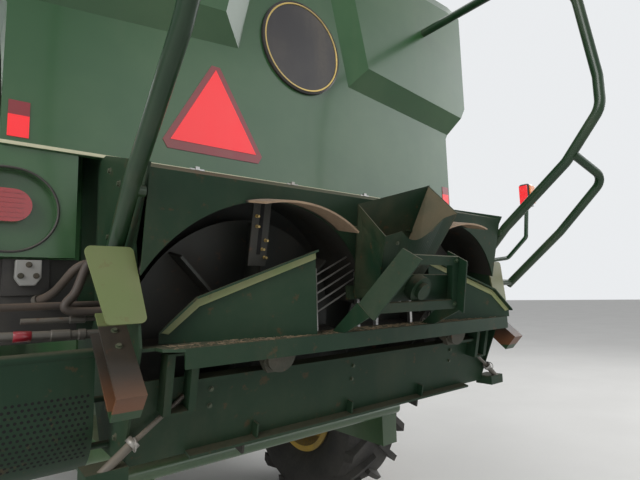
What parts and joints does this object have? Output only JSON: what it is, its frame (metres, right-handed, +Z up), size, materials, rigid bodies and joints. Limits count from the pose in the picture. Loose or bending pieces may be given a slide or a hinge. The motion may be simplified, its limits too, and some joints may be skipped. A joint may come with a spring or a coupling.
{
  "type": "combine harvester",
  "caption": "Combine harvester without its header: cab, grain tank, unloading auger, feederhouse and a residue spreader with rotors under the rear hood, on driven front and steered rear tyres.",
  "frame": {"origin": "on the ground under the middle of the machine's bounding box", "axes": "+X to the machine's left, -Y forward to the feederhouse, +Y to the tail, +Z up"},
  "size_m": [3.8066, 8.8, 3.94],
  "materials": {
    "paint_main": "semi-gloss",
    "paint_yellow": "semi-gloss",
    "paint_dark": "satin",
    "paint_dusty": "matt",
    "steel": "worn",
    "tyre": "matt",
    "lamp_red": "glossy",
    "lamp_clear": "glossy",
    "plastic_black": "matt",
    "glass": "clear",
    "seat_cloth": "woven",
    "cast": "rough"
  },
  "bodies": {
    "chassis": {"auger_saddle": "paint_main", "auger_turret": "paint_main", "cab_frame": "paint_main", "cab_glass": "glass", "cab_roof": "paint_main", "centre_bracket": "paint_dusty", "centre_chute": "paint_dusty", "chopper_housing": "paint_dusty", "deflector_vanes": "paint_dusty", "drive_shield": "paint_main", "engine": "cast", "engine_housing": "paint_main", "feeder_carrier": "paint_dark", "frame": "paint_dark", "front_axle": "paint_main", "grain_tank": "paint_main", "guard_tubes": "paint_main", "hood_skirts": "paint_main", "mirrors": "plastic_black", "platform": "paint_dark", "rear_axle": "paint_main", "rear_hood": "paint_main", "rotor_motors": "cast", "rotor_shrouds": "paint_dusty", "seat": "seat_cloth", "separator_body": "paint_main", "side_arms": "paint_dark", "spreader_frame": "paint_dusty", "spreader_tray": "paint_dusty", "stacks": "paint_dark", "steering_column": "paint_dark", "tail_lamps": "lamp_red", "tailboard": "paint_dusty", "work_lights": "lamp_clear"},
    "wheel_front_left": {"tyre_front_left": "tyre", "rim_front_left": "paint_yellow"},
    "wheel_front_right": {"tyre_front_right": "tyre", "rim_front_right": "paint_yellow"},
    "wheel_rear_left": {"tyre_rear_left": "tyre", "rim_rear_left": "paint_yellow"},
    "wheel_rear_right": {"tyre_rear_right": "tyre", "rim_rear_right": "paint_yellow"},
    "steering_left": {"knuckle_left": "paint_main"},
    "steering_right": {"knuckle_right": "paint_main"},
    "shield_left": {"side_shield_left": "paint_main"},
    "shield_right": {"side_shield_right": "paint_main"},
    "cover_left": {"tank_cover_left": "paint_main"},
    "cover_right": {"tank_cover_right": "paint_main"},
    "auger": {"unloading_auger": "paint_main"},
    "door": {"cab_door": "paint_main", "door_glass": "glass"},
    "access_ladder": {"ladder": "paint_dark"},
    "feeder": {"feederhouse": "paint_main"},
    "barrel_left": {"lift_barrel_left": "paint_dark"},
    "barrel_right": {"lift_barrel_right": "paint_dark"},
    "rod_left": {"lift_rod_left": "steel"},
    "rod_right": {"lift_rod_right": "steel"},
    "spreader_left": {"rotor_left": "paint_dusty"},
    "spreader_right": {"rotor_right": "paint_dusty"},
    "screen": {"rotary_screen": "paint_dark"}
  },
  "joints": [
    {"name": "front_wheel_left_roll", "type": "hinge", "parent": "chassis", "child": "wheel_front_left", "pos_m": [1.5, -1.91, 0.975], "axis": [1, 0, 0], "continuous": true},
    {"name": "front_wheel_right_roll", "type": "hinge", "parent": "chassis", "child": "wheel_front_right", "pos_m": [-1.5, -1.91, 0.975], "axis": [1, 0, 0], "continuous": true},
    {"name": "steer_left", "type": "hinge", "parent": "chassis", "child": "steering_left", "pos_m": [1.1, 1.69, 0.78], "axis": [0, 0, 1], "range_deg": [-30, 30]},
    {"name": "steer_right", "type": "hinge", "parent": "chassis", "child": "steering_right", "pos_m": [-1.1, 1.69, 0.78], "axis": [0, 0, 1], "range_deg": [-30, 30]},
    {"name": "rear_wheel_left_roll", "type": "hinge", "parent": "steering_left", "child": "wheel_rear_left", "pos_m": [1.48, 1.69, 0.78], "axis": [1, 0, 0], "continuous": true},
    {"name": "rear_wheel_right_roll", "type": "hinge", "parent": "steering_right", "child": "wheel_rear_right", "pos_m": [-1.48, 1.69, 0.78], "axis": [1, 0, 0], "continuous": true},
    {"name": "shield_left_lift", "type": "hinge", "parent": "chassis", "child": "shield_left", "pos_m": [1.412, 0.8, 2.44], "axis": [0, -1, 0], "range_deg": [0, 70]},
    {"name": "shield_right_lift", "type": "hinge", "parent": "chassis", "child": "shield_right", "pos_m": [-1.412, 0.8, 2.44], "axis": [0, 1, 0], "range_deg": [0, 70]},
    {"name": "tank_cover_left_open", "type": "hinge", "parent": "chassis", "child": "cover_left", "pos_m": [1.25, -1.1, 3.52], "axis": [0, 1, 0], "range_deg": [0, 104]},
    {"name": "tank_cover_right_open", "type": "hinge", "parent": "chassis", "child": "cover_right", "pos_m": [-1.25, -1.1, 3.52], "axis": [0, -1, 0], "range_deg": [0, 104]},
    {"name": "auger_swing", "type": "hinge", "parent": "chassis", "child": "auger", "pos_m": [1.48, -0.42, 3.225], "axis": [0, 0, -1], "range_deg": [0, 95]},
    {"name": "cab_door_swing", "type": "hinge", "parent": "chassis", "child": "door", "pos_m": [0.854, -2.294, 2.75], "axis": [0, 0, 1], "range_deg": [0, 75]},
    {"name": "ladder_swing", "type": "hinge", "parent": "chassis", "child": "access_ladder", "pos_m": [1.156, -3.21, 1.9], "axis": [0, 0, -1], "range_deg": [0, 90]},
    {"name": "feeder_tilt", "type": "hinge", "parent": "chassis", "child": "feeder", "pos_m": [0, -2.29, 1.64], "axis": [-1, 0, 0], "range_deg": [-10, 18]},
    {"name": "lift_barrel_left_tilt", "type": "hinge", "parent": "chassis", "child": "barrel_left", "pos_m": [0.56, -2.15, 0.7], "axis": [-1, 0, 0], "range_deg": [-8.6, 15.3]},
    {"name": "lift_barrel_right_tilt", "type": "hinge", "parent": "chassis", "child": "barrel_right", "pos_m": [-0.56, -2.15, 0.7], "axis": [-1, 0, 0], "range_deg": [-8.6, 15.3]},
    {"name": "lift_rod_left_slide", "type": "slide", "parent": "barrel_left", "child": "rod_left", "axis": [0, -0.999, 0.0444], "range_m": [-0.18, 0.3]},
    {"name": "lift_rod_right_slide", "type": "slide", "parent": "barrel_right", "child": "rod_right", "axis": [0, -0.999, 0.0444], "range_m": [-0.18, 0.3]},
    {"name": "spreader_left_spin", "type": "hinge", "parent": "chassis", "child": "spreader_left", "pos_m": [0.42, 3.836, 1.568], "axis": [0, 0.9781, -0.2079], "continuous": true},
    {"name": "spreader_right_spin", "type": "hinge", "parent": "chassis", "child": "spreader_right", "pos_m": [-0.42, 3.836, 1.568], "axis": [0, 0.9781, -0.2079], "continuous": true},
    {"name": "rotary_screen_spin", "type": "hinge", "parent": "chassis", "child": "screen", "pos_m": [-1.13, 0.62, 2.96], "axis": [1, 0, 0], "continuous": true}
  ],
  "couplings": [
    {"joint": "steer_right", "follows": "steer_left", "ratio": 1},
    {"joint": "lift_barrel_left_tilt", "follows": "feeder_tilt", "ratio": 0.83},
    {"joint": "lift_barrel_right_tilt", "follows": "feeder_tilt", "ratio": 0.83},
    {"joint": "lift_rod_left_slide", "follows": "feeder_tilt", "m_per_rad": 0.915},
    {"joint": "lift_rod_right_slide", "follows": "feeder_tilt", "m_per_rad": 0.915}
  ]
}
